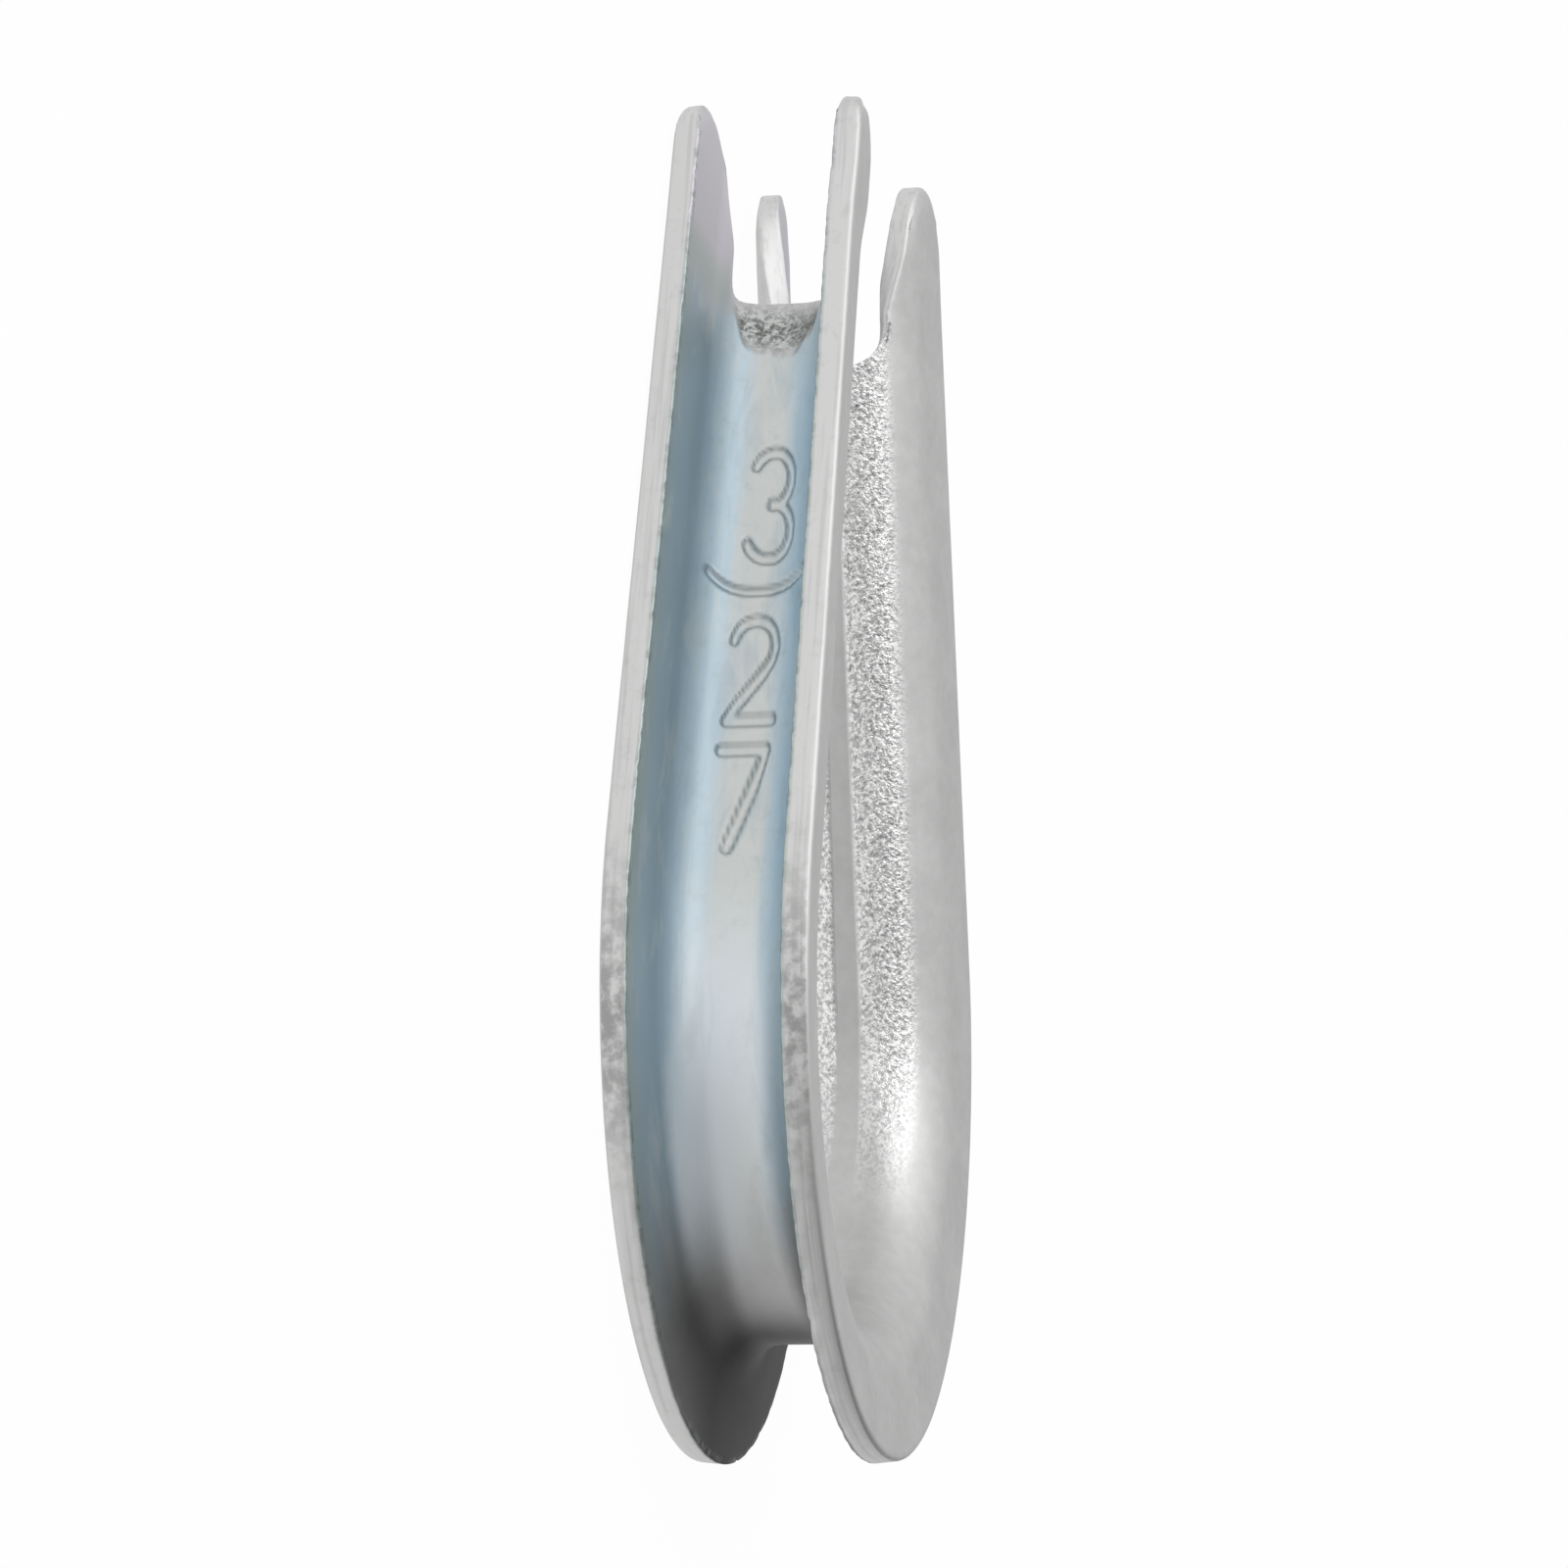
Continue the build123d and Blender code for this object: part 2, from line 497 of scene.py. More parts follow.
def from_edge(flat, ring, beyond, margin):
    """The points farther along the sheet than this: which, their nearest edge point, how far in."""
    near = np.flatnonzero(np.abs(flat[:, 1]) > beyond)
    edge = np.flatnonzero(np.abs(flat[ring, 1]) > beyond - margin)
    gap = np.linalg.norm(flat[near, None] - flat[None, ring[edge]], axis=2)
    return near, edge[gap.argmin(1)], gap.min(1)


def tip_fall(blank, flat, ring):
    """How far each face of the sheet falls away towards the edge, round the horn tips."""
    fall = np.zeros(len(flat))
    near, _, inset = from_edge(flat, ring, blank.tip - 3.0 * TIP_RUN, TIP_RUN)
    up = smooth(1.0 - (blank.tip - HORN_SHORTEST - np.abs(flat[near, 1])) / TIP_RUN)
    share = np.where(flat[near, 1] > 0.0, FAR_TIP_SHARE, 1.0)
    fall[near] = TIP_FALL * share * up * smooth(1.0 - inset / TIP_FALL_REACH)
    return fall


def drawn_in(blank, flat, ring, outward, inset):
    """The flat points drawn in from the outline, to leave room for a rounded edge."""
    drawn = flat.copy()
    near, nearest, gap = from_edge(
        flat, ring, blank.web_end - blank.break_run, DRAWN_REACH * blank.arris)
    pull = inset[nearest]
    share = np.clip(1.0 - gap / (DRAWN_REACH * pull), 0.0, 1.0)
    drawn[near] -= outward[nearest] * (pull * share)[:, None]
    drawn[ring] = flat[ring] - outward * inset[:, None]
    return drawn


def edge_normals(outline):
    """The way out of the sheet, all round its outline."""
    run = np.roll(outline, -1, 0) - np.roll(outline, 1, 0)
    outward = np.stack([run[:, 1], -run[:, 0]], -1)
    return outward / np.linalg.norm(outward, axis=1)[:, None]


def edge_rows(back_round, groove_round, thickness):
    """Rows round the sheet's edge, from the back to the groove: how far out and how deep."""
    turns = np.linspace(0.0, math.pi / 2, ARC_STEPS + 1)
    side = thickness - back_round - groove_round
    rows = [(-back_round * (1 - np.sin(a)), back_round * (1 - np.cos(a))) for a in turns[1:]]
    rows += [(0.0 * side, back_round + side * share)
             for share in np.linspace(0.0, 1.0, SIDE_ROWS + 2)[1:-1]]
    rows += [(-groove_round * (1 - np.cos(a)), thickness - groove_round * (1 - np.sin(a)))
             for a in turns[:-1]]
    return rows


def band(ring, next_ring):
    """Quads between two rings of points."""
    return np.column_stack([ring, np.roll(ring, -1), np.roll(next_ring, -1), next_ring])


def blank_mesh(blank):
    """The flat sheet with its thickness and its rounded edges, as a mesh."""
    x, y, exists, spring = blank_grid(blank)
    number = np.full(x.shape, -1)
    number[exists] = np.arange(exists.sum())
    cells = np.stack([number[:-1, :-1], number[:-1, 1:], number[1:, 1:], number[1:, :-1]], -1)
    quads = cells.reshape(-1, 4)
    quads = quads[(quads >= 0).all(1)]
    flat = np.stack([x[exists], y[exists]], -1)
    ring = edge_loop(quads)
    outline = flat[ring]
    outward = edge_normals(outline)

    left = break_cut(blank, flat[:, 0], flat[:, 1]) * blank.sheet
    fall = tip_fall(blank, flat, ring)
    thickness = (left - 2.0 * fall)[ring]
    back_round = np.minimum(blank.arris, thickness * BACK_ROUND_MOST)
    groove_round = np.minimum(blank.arris * GROOVE_ARRIS, thickness * GROOVE_ROUND_MOST)
    back = drawn_in(blank, flat, ring, outward, back_round)
    groove = drawn_in(blank, flat, ring, outward, groove_round)

    points = [np.column_stack([back, fall]), np.column_stack([groove, left - fall])]
    count = len(flat)
    faces = [quads[:, ::-1], quads + count]
    rows = edge_rows(back_round, groove_round, thickness)
    previous = ring
    for i, (out, depth) in enumerate(rows):
        points.append(np.column_stack([outline + outward * out[:, None], fall[ring] + depth]))
        current = 2 * count + i * len(ring) + np.arange(len(ring))
        faces.append(band(previous, current))
        previous = current
    faces.append(band(previous, ring + count))
    mesh = bpy.data.meshes.new("blank")
    mesh.from_pydata(np.vstack(points), [], np.vstack(faces).tolist())
    flat_spring = spring[exists]
    springs = np.concatenate([flat_spring, flat_spring, np.tile(flat_spring[ring], len(rows))])
    mesh.attributes.new("spring", "FLOAT", "POINT").data.foreach_set("value", springs)
    return mesh


# The pressed marks: a plain 3, a curved bar, a plain 2 and a plain 7

class Mark(typing.NamedTuple):
    """A pressed mark, whose lines are drawn one unit high."""

    up_leg: float  # from the end of the crown to the foot of the mark
    aside: float   # from the middle of the sheet
    height: float
    lift: float    # of the lines off the sheet, which makes the stroke narrower
    lines: list


def arc(middle, radii, start, end, steps=14):
    """Points on an ellipse's arc; angles in degrees, from the right, anticlockwise."""
    turns = np.radians(np.linspace(start, end, steps))
    return [(middle[0] + radii[0] * math.cos(a), middle[1] + radii[1] * math.sin(a)) for a in turns]


def pressed_marks():
    """The marks on the leg at -X, from its torn end down to the crown."""
    three = [arc((0.0, 0.75), (0.22, 0.25), 150, -88), arc((0.0, 0.26), (0.25, 0.26), 88, -155)]
    bar = [arc((0.0, 2.0), (2.3, 2.0), 236, 304, steps=24)]
    two = [arc((0.0, 0.74), (0.24, 0.26), 165, -35) + [(-0.26, 0.0), (0.26, 0.0)]]
    seven = [[(-0.26, 1.0), (0.26, 1.0), (-0.08, 0.0)]]
    return (
        Mark(up_leg=9.3 * MM, aside=0.28 * MM, height=3.2 * MM, lift=0.0, lines=three),
        Mark(up_leg=8.35 * MM, aside=0.0, height=1.5 * MM, lift=0.105 * MM, lines=bar),
        Mark(up_leg=4.6 * MM, aside=0.08 * MM, height=2.9 * MM, lift=0.0, lines=two),
        Mark(up_leg=0.95 * MM, aside=-0.05 * MM, height=2.8 * MM, lift=0.0, lines=seven),
    )


def stamp_object(blank):
    """The marks as thin lines on the flat sheet."""
    points, edges = [], []
    for mark in pressed_marks():
        for line in mark.lines:
            for i, (across, up) in enumerate(line):
                if i:
                    edges.append((len(points) - 1, len(points)))
                along = blank.crown_half + mark.up_leg + up * mark.height
                points.append((across * mark.height + mark.aside, -along, mark.lift))
    mesh = bpy.data.meshes.new("marks")
    mesh.from_pydata(points, edges, [])
    return bpy.data.objects.new("marks", mesh)


# The press: geometry nodes

SEED = 4.0
STROKE_FLAT = 0.12 * MM       # half the flat bottom of a pressed stroke
STROKE_HALF = 0.18 * MM       # half the whole stroke
STROKE_WALL = 0.17 * MM       # from a stroke's middle to its wall, where shade is painted
LIP_PLACE = 0.25 * MM         # from a stroke's middle to the lip along it
LIP_HEIGHT = 0.006 * MM
WAVE_DEPTH = 0.018 * MM       # of the sheet's slow waves
BURR_DEPTH = 0.05 * MM        # of the nicks in the rims
SHEAR_DEPTH = 0.012 * MM      # of the lines that shearing leaves along the rims
TORN_START = 15.3 * MM        # up the leg, where the torn facets begin
TORN_FULL = 15.9 * MM
TORN_DEPTH = 0.26 * MM


def press_inputs(blank, sizes, marks, material):
    """The press's inputs: name to kind of socket and value."""
    number = "NodeSocketFloat"
    narrowing_rate = sizes.narrowing / 2 / (blank.tip - blank.crown_half) / blank.half_land
    return {
        "Rim Radius": (number, sizes.rim_radius),
        "Channel Depth": (number, blank.depth),
        "Corner Radius": (number, blank.corner),
        "Half Land": (number, blank.half_land),
        "Bend": (number, blank.bend),
        "Leg Lean": (number, sizes.leg_lean),
        "Station Radius": (number, blank.station_radius),
        "Narrowing": (number, narrowing_rate),
        "Sheet": (number, sizes.sheet),
        "Half Width": (number, blank.half_width),
        "Grain Depth": (number, sizes.grain_depth),
        "Stamp Depth": (number, sizes.stamp_depth),
        "Seed": (number, SEED),
        "Marks": ("NodeSocketObject", marks),
        "Material": ("NodeSocketMaterial", material),
    }


def pressed(graph, given, position, spring):
    """Where a point of the blank goes when the channel is pressed and bent."""
    x, y, z = graph.parts(position)
    over = (abs(x) - given["Half Land"]).most(0.0)
    turn = (over / given["Corner Radius"]).least(given["Bend"])
    wall = (over - given["Corner Radius"] * given["Bend"]).most(0.0)
    crown = given["Leg Lean"] + math.pi / 2
    swing = (abs(y) / given["Station Radius"]).least(crown)
    up_leg = (abs(y) - given["Station Radius"] * crown).most(0.0)
    narrow = 1.0 - up_leg * given["Narrowing"]
    corner = given["Corner Radius"] - z
    depth = (given["Channel Depth"] - given["Corner Radius"] + corner * turn.cos()
             - wall * given["Bend"].sin())
    width = (abs(x).least(given["Half Land"]) * narrow + corner * turn.sin()
             + wall * given["Bend"].cos() + spring)
    radius = given["Rim Radius"] - depth
    across_eye = radius * swing.sin() - up_leg * given["Leg Lean"].sin()
    along_eye = up_leg * given["Leg Lean"].cos() - radius * swing.cos()
    return graph.vector(y.sign() * across_eye, along_eye, x.sign() * width)


def press_surface(graph, given, flat, place, marks):
    """How far each point moves out of the pressed surface, where it is torn, and where shade is
    painted on the walls of the marks.
    """
    x, y, z = graph.parts(flat)
    sheet, seed = given["Sheet"], given["Seed"]
    back = z.fade(0.0, sheet * 0.3)
    groove = z.ramp(sheet * 0.75, sheet * 0.99)
    crown_end = given["Station Radius"] * (given["Leg Lean"] + math.pi / 2)

    web = abs(x).fade(1.9 * MM, 3.0 * MM)
    stretched = abs(y).ramp(crown_end * 0.55, crown_end * 1.05, 0.35, 1.0)
    grain = graph.noise(place, 3400.0, 2.0, 0.6, 0.3, seed) - 0.5
    grain_move = back * web * stretched * grain * given["Grain Depth"]
    wave_move = graph.noise(place, 260.0, 2.0, 0.5, 0.0, seed + 1.0) * -WAVE_DEPTH

    stamp = graph.node(
        "GeometryNodeProximity", {"target_element": "EDGES"},
        {"Target": marks, "Source Position": graph.vector(x, y, 0.0)}, output="Distance")
    stamp_move = groove * stamp.fade(STROKE_FLAT, STROKE_HALF) * -given["Stamp Depth"]
    lip_move = groove * stamp.near(LIP_PLACE, 0.08 * MM) * LIP_HEIGHT
    # painted shade on the walls of the pressed strokes
    mark_edge = groove * stamp.near(STROKE_WALL, 0.07 * MM)

    rim = abs(x).ramp(given["Half Width"] - 0.16 * MM, given["Half Width"] - 0.05 * MM)
    burr = graph.noise(place, 3200.0, 2.0, 0.6, 0.0, seed + 2.0).ramp(0.45, 0.75)
    burr_move = rim * z.ramp(sheet * 0.6, sheet * 0.95) * burr * -BURR_DEPTH
    sheared = graph.vector(x * 8.0, y * 0.6, z * 8.0)
    shear_move = rim * graph.noise(sheared, 900.0, 2.0, 0.5, 0.0, seed + 3.0) * -SHEAR_DEPTH

    web_end = abs(y).ramp(crown_end + TORN_START, crown_end + TORN_FULL)
    torn = web_end * (z / sheet).near(0.5, 0.46) * abs(x).fade(1.35 * MM, 1.62 * MM)
    facets = graph.noise(place, 2100.0, 3.0, 0.7, 0.6, seed + 4.0) - 0.55
    torn_move = torn * facets * TORN_DEPTH

    move = grain_move + wave_move + stamp_move + lip_move + burr_move + shear_move + torn_move
    return move, {"torn": torn, "mark_edge": mark_edge}


def press_tree(inputs):
    """Geometry nodes that turn the flat blank into the thimble."""
    tree = bpy.data.node_groups.new("Thimble Press", "GeometryNodeTree")
    tree.is_modifier = True
    tree.interface.new_socket("Blank", in_out="INPUT", socket_type="NodeSocketGeometry")
    for name, (kind, _) in inputs.items():
        tree.interface.new_socket(name, in_out="INPUT", socket_type=kind)
    tree.interface.new_socket("Thimble", in_out="OUTPUT", socket_type="NodeSocketGeometry")
    graph = Graph(tree)
    entry = tree.nodes.new("NodeGroupInput")
    given = {socket.name: Value(graph, socket) for socket in entry.outputs if socket.name}
    marks = graph.node("GeometryNodeObjectInfo", inputs={0: given["Marks"]}, output="Geometry")
    position = graph.node("GeometryNodeInputPosition")
    kept = graph.node(
        "GeometryNodeStoreNamedAttribute", {"data_type": "FLOAT_VECTOR", "domain": "POINT"},
        {"Geometry": given["Blank"], "Name": "blank", "Value": position})
    spring = graph.node(
        "GeometryNodeInputNamedAttribute", {"data_type": "FLOAT"}, {"Name": "spring"})
    place = pressed(graph, given, position, spring)
    bent = graph.node("GeometryNodeSetPosition", inputs={"Geometry": kept, "Position": place})
    formed = graph.node("GeometryNodeFlipFaces", inputs={"Mesh": bent})
    flat = graph.node(
        "GeometryNodeInputNamedAttribute", {"data_type": "FLOAT_VECTOR"}, {"Name": "blank"})
    bent_place = graph.node("GeometryNodeInputPosition")
    move, areas = press_surface(graph, given, flat, bent_place, marks)
    marked = formed
    for name, share in areas.items():
        marked = graph.node(
            "GeometryNodeStoreNamedAttribute", {"data_type": "FLOAT", "domain": "POINT"},
            {"Geometry": marked, "Name": name, "Value": share})
    normal = graph.node("GeometryNodeInputNormal")
    offset = graph.node(
        "ShaderNodeVectorMath", {"operation": "SCALE"}, {0: normal, "Scale": move})
    finished = graph.node("GeometryNodeSetPosition", inputs={"Geometry": marked, "Offset": offset})
    smooth_shaded = graph.node("GeometryNodeSetShadeSmooth", inputs={"Geometry": finished})
    real = graph.node("GeometryNodeRealizeInstances", inputs={"Geometry": smooth_shaded})
    coated = graph.node(
        "GeometryNodeSetMaterial", inputs={"Geometry": real, "Material": given["Material"]})
    exit_node = tree.nodes.new("NodeGroupOutput")
    tree.links.new(coated.socket, exit_node.inputs[0])
    return tree


def press(mesh, tree, inputs, name):
    """Runs the press on the blank and gives the pressed piece as a plain mesh object."""
    holder = bpy.data.objects.new("press_holder", mesh)
    bpy.context.scene.collection.objects.link(holder)
    modifier = holder.modifiers.new("Press", "NODES")
    modifier.node_group = tree
    for socket in tree.interface.items_tree:
        if socket.in_out == "INPUT" and socket.name in inputs:
            modifier[socket.identifier] = inputs[socket.name][1]
    graph = bpy.context.evaluated_depsgraph_get()
    result = bpy.data.meshes.new_from_object(holder.evaluated_get(graph))
    result.name = name
    bpy.data.objects.remove(holder)
    piece = bpy.data.objects.new(name, result)
    bpy.context.scene.collection.objects.link(piece)
    return piece


# The finish

class Skin:
    """Where a point lies on the sheet, and the areas and noises that the plating is made of."""

    def __init__(self, graph, blank):
        self.graph = graph
        self.blank = blank
        self.place = graph.node("ShaderNodeTexCoord", output="Object")
        flat = graph.node("ShaderNodeAttribute", {"attribute_name": "blank"}, output="Vector")
        self.x, self.y, self.z = graph.parts(flat)
        x, y, z = self.x, self.y, self.z
        self.torn = graph.node("ShaderNodeAttribute", {"attribute_name": "torn"}, output="Fac")
        self.mark_edge = graph.node(
            "ShaderNodeAttribute", {"attribute_name": "mark_edge"}, output="Fac")
        self.groove = z.ramp(blank.sheet * 0.80, blank.sheet * 0.97)
        self.back = z.fade(blank.sheet * 0.03, blank.sheet * 0.15)
        self.edge = (1.0 - self.groove) * (1.0 - self.back)
        self.up_leg = abs(y) - blank.crown_half
        self.web_run = blank.web_end - blank.crown_half

        self.bands = graph.noise(graph.vector(x, y * 0.05, z), 1700.0, 3.0, 0.6, 0.0, 2.0)
        self.clouds = graph.noise(self.place, 420.0, 4.0, 0.6, 0.4, 5.0)
        self.mottle = graph.noise(self.place, 2300.0, 3.0, 0.65, 0.2, 6.0)
        self.speckle = graph.noise(self.place, 7000.0, 2.0, 0.6, 0.0, 7.0)
        self.scratches = graph.noise(graph.vector(x, y * 0.03, z), 6500.0, 2.0, 0.6, 0.0, 9.0)
        self.lines = graph.noise(graph.vector(x, y * 0.05, z * 1.6), 5200.0, 2.0, 0.5, 0.0, 11.0)
        self.facets = graph.noise(self.place, 5000.0, 4.0, 0.75, 0.3, 12.0)
        self.grains = graph.noise(self.place, 8200.0, 3.0, 0.65, 0.3, 13.0)
        self.stains = graph.noise(graph.vector(x, y * 0.35, z), 900.0, 4.0, 0.65, 0.6, 14.0)

        off_land = abs(x + 0.15 * MM)
        stretched = off_land.ramp(0.28 * MM, 0.45 * MM) * off_land.fade(1.5 * MM, 2.2 * MM)
        self.grained = self.back * stretched * self.up_leg.ramp(-7.5 * MM, -1.0 * MM)
        # painted highlight on the groove's floor, towards where each leg meets the crown
        self.highlight_patch = (self.groove * self.up_leg.near(-4.2 * MM, 5.0 * MM)
                         * abs(x + 0.4 * MM).fade(0.9 * MM, 2.3 * MM)
                         * self.stains.ramp(0.30, 0.55, 0.7, 1.0))
        # painted light: a paler patch on the left of the groove's floor, deeper in the crown
        self.painted_light_low = (self.groove * self.up_leg.near(-7.6 * MM, 4.6 * MM)
                        * abs(x + 1.3 * MM).fade(0.8 * MM, 1.7 * MM))


def bare_zinc(skin, finish):
    """Plating on the flanges, the rims and the back: dulled, worn and brushed, lighter on the rims as
    painted light, and grained, with painted shade in the grain's hollows and painted glints on its
    peaks.
    """
    graph, edge, mottle = skin.graph, skin.edge, skin.mottle
    dulling = skin.clouds.ramp(0.30, 0.72) * 0.6 + mottle.ramp(0.35, 0.65) * 0.4
    plate = graph.mix(dulling, shade(finish.zinc, 0.86), shade(finish.zinc))
    # painted light: a lighter copy of the zinc on the rims and edges
    plate = graph.mix(edge * 0.9, plate, shade(finish.zinc, 1.10))
    worn = edge * (skin.lines.ramp(0.50, 0.66) * 0.35 + mottle.ramp(0.52, 0.70) * 0.25)
    plate = graph.mix(worn, plate, shade(finish.zinc, 0.76))
    brushed = edge * skin.up_leg.near(-3.6 * MM, 4.2 * MM) * mottle.ramp(0.34, 0.60)
    plate = graph.mix(brushed, plate, shade(finish.zinc, 0.60))
    # painted shade in the grain's hollows and painted glints on its peaks, on the back of the web
    hollow_shade = skin.grained * skin.grains.ramp(0.43, 0.35) * 0.6
    plate = graph.mix(hollow_shade, plate, shade(finish.zinc, 0.42))
    peak_glints = skin.grained * skin.grains.ramp(0.46, 0.56) * 0.95
    return graph.mix(peak_glints, plate, shade(finish.zinc, 1.5))


def crown_painted_shade(skin, finish):
    """Painted light and shade in the groove round the crown, in place of its plating: lighter across
    the floor, darker on its walls and darkest at the crown's middle.
    """
    graph = skin.graph
    left_wall_shade = skin.x.fade(-3.1 * MM, -1.8 * MM)
    right_wall_shade = skin.x.ramp(0.9 * MM, 3.0 * MM)
    # painted shade, darkest at the crown's middle
    middle = abs(skin.y - 4.0 * MM).fade(4.8 * MM, 8.2 * MM)
    grey = graph.mix(left_wall_shade, shade(finish.crown_shade_grey, 1.5), shade(finish.crown_shade_grey, 0.60))
    grey = graph.mix(right_wall_shade, grey, shade(finish.crown_shade_grey, 0.50))
    return graph.mix(middle, grey, shade(finish.crown_shade_grey, 0.20))


def passivated_blue(skin, finish):
    """Passivation in the groove: warm in the middle, blue beside it, olive at the rims."""
    graph = skin.graph
    stops = (
        (-5.4, finish.olive), (-4.6, finish.deep_blue), (-3.1, finish.deep_blue), (-2.0, finish.blue),
        (-1.0, finish.blue), (-0.35, finish.warm), (0.45, finish.warm), (1.2, finish.blue),
        (2.3, finish.blue), (3.6, finish.deep_blue), (5.4, finish.olive),
    )
    width = 2.0 * skin.blank.half_width
    places = [(place * MM / width + 0.5, shade(colour)) for place, colour in stops]
    wander = (skin.bands - 0.5) * 1.5 * MM
    across = (skin.x + wander) / width + 0.5
    blue = graph.node("ShaderNodeValToRGB", {"stops": places}, {0: across})
    blue = graph.mix(skin.stains.ramp(0.50, 0.66) * 0.45, blue, shade(finish.warm))
    blue = graph.mix(skin.stains.ramp(0.50, 0.34) * 0.40, blue, shade(finish.deep_blue))
    return graph.mix(skin.mottle.ramp(0.50, 0.75) * 0.30, blue, shade(finish.olive))


def groove_plating(skin, finish, plate):
    """The groove's colours, laid over the bare plating from the crown to the horns, with painted shade
    round the crown and patches of painted light on either side of it, towards the legs.
    """
    graph, groove, up_leg, web_run = skin.graph, skin.groove, skin.up_leg, skin.web_run
    # where painted shade takes the place of the plating and of the blue passivation
    crown = groove * abs(skin.y - 4.5 * MM).fade(5.0 * MM, 11.5 * MM)
    colour = graph.mix(crown, plate, crown_painted_shade(skin, finish))
    passivated = (groove * up_leg.ramp(-11.5 * MM, -7.0 * MM)
                  * up_leg.fade(web_run - 1.6 * MM, web_run + 0.5 * MM))
    blued = passivated * skin.clouds.ramp(0.20, 0.45, 0.75, 1.0) * (1.0 - crown)
    colour = graph.mix(blued, colour, passivated_blue(skin, finish))
    colour = graph.mix(skin.highlight_patch, colour, shade(finish.bright))
    colour = graph.mix(skin.painted_light_low * 0.85, colour, shade(finish.bright))
    horn = groove * up_leg.ramp(web_run - 1.2 * MM, web_run + 1.0 * MM)
    colour = graph.mix(horn * 0.85, colour, shade(finish.lilac))
    corner = groove * up_leg.near(web_run - 0.2 * MM, 1.1 * MM) * abs(skin.x).ramp(1.6 * MM, 2.6 * MM)
    colour = graph.mix(corner * 0.7, colour, shade(finish.olive))
    rim = skin.blank.half_width
    ragged = groove * abs(skin.x).ramp(rim - 0.26 * MM, rim - 0.10 * MM)
    colour = graph.mix(ragged * skin.mottle.ramp(0.45, 0.62) * 0.7, colour, shade(finish.olive, 0.62))
    # painted shade on the walls of the pressed strokes
    return graph.mix(skin.mark_edge * 0.45, colour, shade(finish.olive, 0.45))


def torn_steel(skin, finish, colour):
    """Torn steel over the torn ends: bright and dark facets, which are painted glints and painted
    shade, darker towards +X as painted shade, with a line of painted shade round them.
    """
    graph, torn = skin.graph, skin.torn
    # painted glints on some facets, painted shade on the rest and on the side towards +X
    lit_facets = skin.facets.ramp(0.42, 0.60) * (-skin.x).ramp(-1.4 * MM, 0.2 * MM, 0.35, 1.0)
    steel = graph.mix(lit_facets, shade(finish.fracture, 0.60), shade(finish.fracture, 2.4))
    colour = graph.mix(torn, colour, steel)
    # painted shade along the edge of the break
    line = torn.near(0.30, 0.28) * skin.groove * 0.6
    return graph.mix(line, colour, shade(finish.fracture, 0.30))


def plating_height(skin):
    """Height of the plating's fine relief, which is too small for the mesh."""
    height = skin.mottle * 0.0022 + skin.speckle * (skin.groove * 0.0030 + 0.0014)
    height += skin.scratches * skin.groove * 0.0035 + skin.edge * skin.lines * 0.006
    height += skin.torn * skin.facets * 0.042 + skin.grained * skin.grains * 0.070
    return height * MM


def plating(blank, finish):
    """Zinc plating: satin on the flanges, grained on the back, passivated blue in the groove."""
    material = bpy.data.materials.new("zinc_plating")
    material.use_nodes = True
    tree = material.node_tree
    tree.nodes.clear()
    graph = Graph(tree)
    skin = Skin(graph, blank)
    colour = groove_plating(skin, finish, bare_zinc(skin, finish))
    colour = torn_steel(skin, finish, colour)
    roughness = (0.45 + skin.clouds * 0.08 + skin.groove * 0.04 + skin.edge * 0.04
                 - skin.grained * 0.28)
    metal = 1.0 - skin.painted_light_low * 0.55 - skin.highlight_patch * 0.2
    bump = graph.node(
        "ShaderNodeBump", inputs={"Strength": 1.0, "Distance": 1.0, "Height": plating_height(skin)})
    shader = graph.node(
        "ShaderNodeBsdfPrincipled",
        inputs={"Base Color": colour, "Metallic": metal, "Roughness": roughness, "Normal": bump})
    output = tree.nodes.new("ShaderNodeOutputMaterial")
    tree.links.new(shader.socket, output.inputs[0])
    return material


# The stage

FLOOR_GREY = (0.86, 0.86, 0.86, 1.0)
WHITE = (1.0, 1.0, 1.0, 1.0)
FLOOR_GLOW = 0.97             # how far the floor that is seen is plain white
KEY_PLACE = (-0.35, 0.25, 0.45)
KEY_SPAN = 0.60
KEY_POWER = 1.1
AIM_OFFSET = (0.32 * MM, 0.19 * MM, -0.53 * MM)  # from the middle of the thimble to the aim
SENSOR_WIDTH = 36.0
CLIP_START = 0.005


def floor_finish():
    """Pale floor that reads as white and keeps the thimble's soft shadow."""
    material = bpy.data.materials.new("pale_floor")
    material.use_nodes = True
    tree = material.node_tree
    tree.nodes.clear()
    graph = Graph(tree)
    paths = graph.node("ShaderNodeLightPath").socket.node.outputs
    seen = Value(graph, paths["Is Camera Ray"])
    for name in ("Is Glossy Ray", "Is Transmission Ray"):
        seen = seen.most(Value(graph, paths[name]))
    matte = graph.node("ShaderNodeBsdfDiffuse", inputs={"Color": FLOOR_GREY})
    white = graph.node("ShaderNodeEmission", inputs={"Color": WHITE, "Strength": 1.0})
    mixed = graph.node("ShaderNodeMixShader", inputs={0: seen * FLOOR_GLOW, 1: matte, 2: white})
    output = tree.nodes.new("ShaderNodeOutputMaterial")
    tree.links.new(mixed.socket, output.inputs[0])
    return material


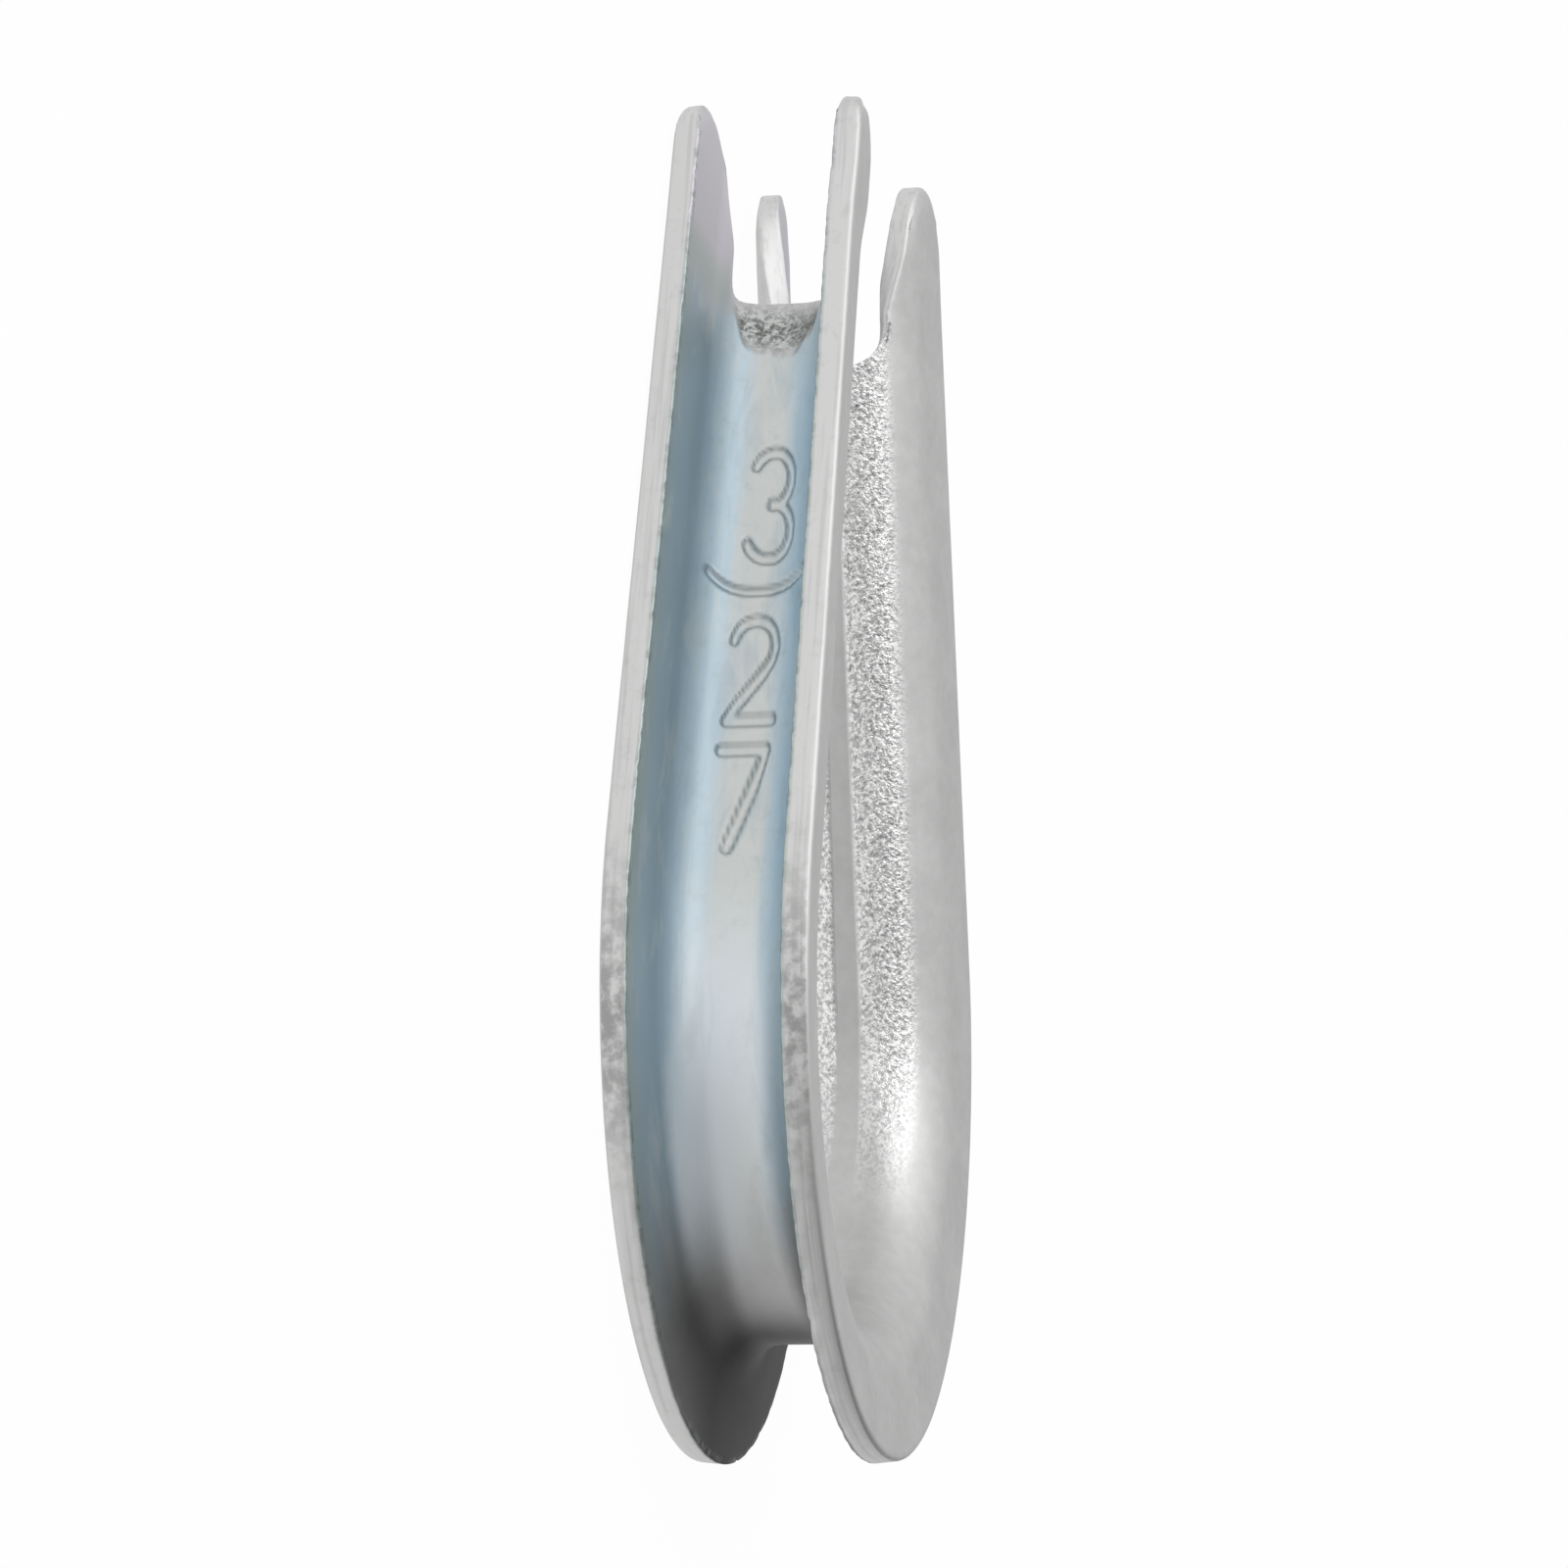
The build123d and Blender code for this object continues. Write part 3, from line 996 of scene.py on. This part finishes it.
def studio_world():
    """Soft white studio all round, dimmer on the crown's side and low behind the thimble."""
    world = bpy.data.worlds.new("studio")
    bpy.context.scene.world = world
    world.use_nodes = True
    tree = world.node_tree
    tree.nodes.clear()
    graph = Graph(tree)
    way = graph.node("ShaderNodeTexCoord", output="Generated")
    x, y, z = graph.parts(way)
    crown_side = y.ramp(0.35, -0.9, 1.0, 0.18)
    behind = x.ramp(0.1, 0.9, 1.0, 0.80)
    overhead = z.ramp(0.1, 0.9, 0.80, 1.1)
    strength = crown_side * behind * overhead
    light = graph.node("ShaderNodeBackground", inputs={"Color": WHITE, "Strength": strength})
    output = tree.nodes.new("ShaderNodeOutputWorld")
    tree.links.new(light.socket, output.inputs[0])


def softbox(name, place, span, power):
    """A square area light that faces the thimble."""
    lamp = bpy.data.lights.new(name, "AREA")
    lamp.size = span
    lamp.energy = power
    holder = bpy.data.objects.new(name, lamp)
    holder.location = place
    holder.rotation_euler = (-Vector(place)).to_track_quat("-Z", "Y").to_euler()
    bpy.context.scene.collection.objects.link(holder)


def stage_camera(stage):
    """Camera over the crown's side of one leg, rolled so that the horns point up."""
    azimuth, elevation = stage.azimuth, stage.elevation
    forward = Vector((math.cos(elevation) * math.sin(azimuth),
                      math.cos(elevation) * math.cos(azimuth), -math.sin(elevation)))
    level = forward.cross(Vector((0.0, 0.0, 1.0))).normalized()
    above = level.cross(forward)
    right = level * math.cos(stage.roll) + above * math.sin(stage.roll)
    up = above * math.cos(stage.roll) - level * math.sin(stage.roll)
    aim = Vector((0.0, (node_low.y + node_high.y) / 2, 0.0)) + Vector(AIM_OFFSET)
    data = bpy.data.cameras.new("camera")
    data.lens = stage.lens
    data.sensor_width = SENSOR_WIDTH
    data.clip_start = CLIP_START
    camera = bpy.data.objects.new("camera", data)
    turn = Matrix((right, up, -forward)).transposed().to_4x4()
    camera.matrix_world = Matrix.Translation(aim - forward * stage.view_distance) @ turn
    bpy.context.scene.collection.objects.link(camera)
    bpy.context.scene.camera = camera


# Operators

class THIMBLE_OT_press(bpy.types.Operator):
    """Presses the thimble from its blank and plates it"""

    bl_idname = "thimble.press"
    bl_label = "Press Thimble"

    def execute(self, context):
        sizes = context.scene.thimble_sizes
        blank = Blank(sizes)
        material = plating(blank, context.scene.thimble_finish)
        marks = stamp_object(blank)
        context.scene.collection.objects.link(marks)
        inputs = press_inputs(blank, sizes, marks, material)
        piece = press(blank_mesh(blank), press_tree(inputs), inputs, "thimble_shell")
        bpy.data.objects.remove(marks)
        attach(piece, "root")
        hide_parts("thimble")
        return {"FINISHED"}


class THIMBLE_OT_stage(bpy.types.Operator):
    """Adds the floor, the soft light and the camera"""

    bl_idname = "thimble.stage"
    bl_label = "Set Stage"

    def execute(self, context):
        stage = context.scene.thimble_stage
        half = stage.floor_span / 2
        corners = [(-half, -half), (half, -half), (half, half), (-half, half)]
        mesh = bpy.data.meshes.new("floor")
        mesh.from_pydata([(x, y, node_low.z) for x, y in corners], [], [(0, 1, 2, 3)])
        mesh.materials.append(floor_finish())
        floor = bpy.data.objects.new("floor", mesh)
        context.scene.collection.objects.link(floor)
        studio_world()
        softbox("key", KEY_PLACE, KEY_SPAN, KEY_POWER)
        stage_camera(stage)
        context.scene.view_settings.view_transform = "Standard"
        return {"FINISHED"}


class THIMBLE_PT_panel(bpy.types.Panel):
    """Lists the thimble's operators and sizes"""

    bl_idname = "THIMBLE_PT_panel"
    bl_label = "Thimble"
    bl_space_type = "VIEW_3D"
    bl_region_type = "UI"
    bl_category = "Thimble"

    def draw(self, context):
        for operator in STEPS:
            self.layout.operator(operator.bl_idname)
        for holder in GROUPS:
            group = getattr(context.scene, holder)
            for name in GROUPS[holder].__annotations__:
                self.layout.prop(group, name)


GROUPS = {
    "thimble_sizes": ThimbleSizes,
    "thimble_finish": ThimbleFinish,
    "thimble_stage": ThimbleStage,
}
STEPS = (THIMBLE_OT_press, THIMBLE_OT_stage)


def register():
    for kind in (*GROUPS.values(), *STEPS, THIMBLE_PT_panel):
        bpy.utils.register_class(kind)
    for name, kind in GROUPS.items():
        setattr(bpy.types.Scene, name, bpy.props.PointerProperty(type=kind))


def unregister():
    for name in GROUPS:
        delattr(bpy.types.Scene, name)
    for kind in reversed((*GROUPS.values(), *STEPS, THIMBLE_PT_panel)):
        bpy.utils.unregister_class(kind)


def main():
    register()
    bpy.ops.thimble.press()
    bpy.ops.thimble.stage()


if __name__ == "__main__":
    main()
